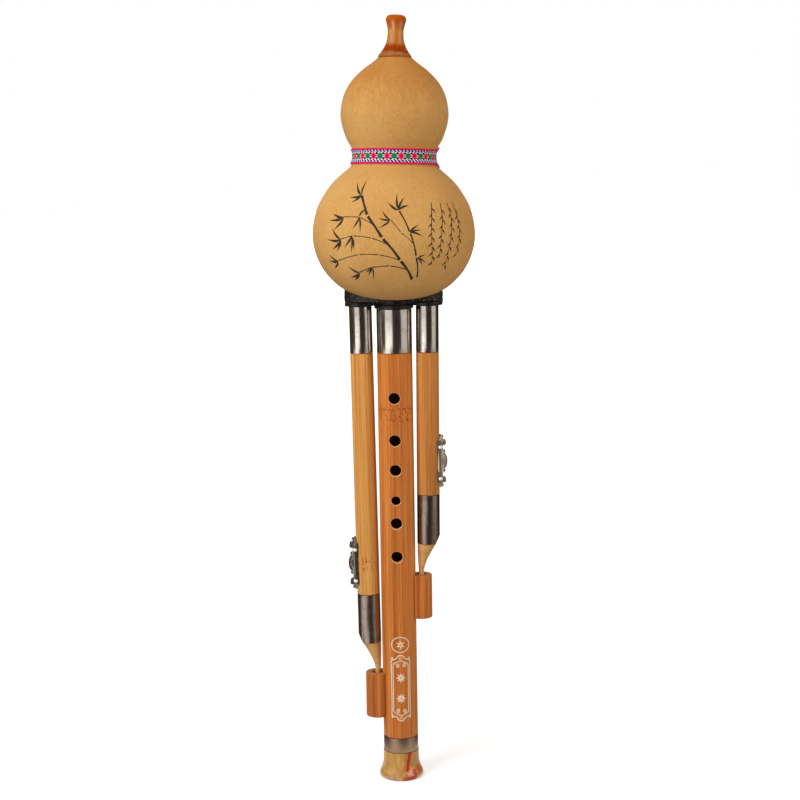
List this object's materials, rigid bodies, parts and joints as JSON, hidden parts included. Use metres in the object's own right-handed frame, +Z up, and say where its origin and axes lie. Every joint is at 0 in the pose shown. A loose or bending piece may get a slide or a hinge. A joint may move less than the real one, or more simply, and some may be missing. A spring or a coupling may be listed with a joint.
{
  "type": "hulusi gourd flute",
  "caption": "Gourd flute: a hollow gourd with a mouthpiece above a finger-hole pipe that ends in a bell, with drone pipes and sliding drone keys beside it.",
  "frame": {"origin": "centre of the bell's foot, on the axis of the finger-hole pipe, where the upright instrument rests", "axes": "+Z up the finger-hole pipe towards the gourd and mouthpiece, -Y out of the finger holes towards the viewer, +X towards the short drone pipe"},
  "size_m": [0.0918, 0.0918, 0.4402],
  "materials": {
    "gourd_skin": "satin polished gourd",
    "amber_resin": "polished amber resin",
    "dark_bamboo": "varnished bamboo",
    "pale_bamboo": "varnished pale bamboo",
    "brown_bamboo": "varnished bamboo",
    "stub_bamboo": "varnished bamboo",
    "cut_bamboo": "bare cut bamboo",
    "steel": "polished steel sleeve",
    "dark_steel": "dark gunmetal sleeve",
    "ring_steel": "brushed ring",
    "horn_resin": "marbled horn-coloured resin",
    "black_resin": "glossy black resin",
    "sealant": "glossy black sealant",
    "ribbon": "woven ribbon",
    "nickel": "nickel plate",
    "brass": "bare brass",
    "cork": "cork",
    "leather": "soft leather"
  },
  "bodies": {
    "main_pipe": {"main_pipe": "dark_bamboo", "main_ferrule": "steel", "bottom_ring": "ring_steel", "bell": "horn_resin", "left_stub": "stub_bamboo", "right_stub": "stub_bamboo", "main_tenon": "black_resin", "main_tenon_seal": "cork", "main_reed_tube": "cut_bamboo", "main_reed": "brass", "main_reed_tube_cap": "cork"},
    "gourd": {"gourd_shell": "gourd_skin", "waist_ribbon": "ribbon", "mouthpiece": "amber_resin", "main_collar": "black_resin", "left_collar": "black_resin", "right_collar": "black_resin", "collar_sealant": "sealant"},
    "left_drone": {"left_drone_pipe": "pale_bamboo", "left_upper_ferrule": "steel", "left_lower_ferrule": "dark_steel", "left_quill": "cut_bamboo", "left_key_plate": "nickel", "left_key_nail_top": "nickel", "left_key_nail_bottom": "nickel", "left_tenon": "black_resin", "left_tenon_seal": "cork", "left_reed_tube": "cut_bamboo", "left_reed": "brass", "left_reed_tube_cap": "cork"},
    "right_drone": {"right_drone_pipe": "brown_bamboo", "right_upper_ferrule": "steel", "right_lower_ferrule": "dark_steel", "right_quill": "cut_bamboo", "right_key_plate": "nickel", "right_key_nail_top": "nickel", "right_key_nail_bottom": "nickel", "right_tenon": "black_resin", "right_tenon_seal": "cork", "right_reed_tube": "cut_bamboo", "right_reed": "brass", "right_reed_tube_cap": "cork"},
    "left_key": {"left_key_slider": "nickel", "left_key_pad": "leather"},
    "right_key": {"right_key_slider": "nickel", "right_key_pad": "leather"}
  },
  "joints": [
    {"name": "gourd_lift", "type": "slide", "parent": "main_pipe", "child": "gourd", "axis": [0, 0, 1], "range_m": [0, 0.065]},
    {"name": "left_drone_draw", "type": "slide", "parent": "gourd", "child": "left_drone", "axis": [0.0102, 0, -0.9999], "range_m": [0, 0.0025]},
    {"name": "right_drone_draw", "type": "slide", "parent": "gourd", "child": "right_drone", "axis": [-0.0076, 0, -1], "range_m": [0, 0.0025]},
    {"name": "left_key_slide", "type": "slide", "parent": "left_drone", "child": "left_key", "axis": [-0.0102, 0, 0.9999], "range_m": [-0.0018, 0.0018]},
    {"name": "right_key_slide", "type": "slide", "parent": "right_drone", "child": "right_key", "axis": [0.0076, 0, 1], "range_m": [-0.0018, 0.0018]}
  ]
}
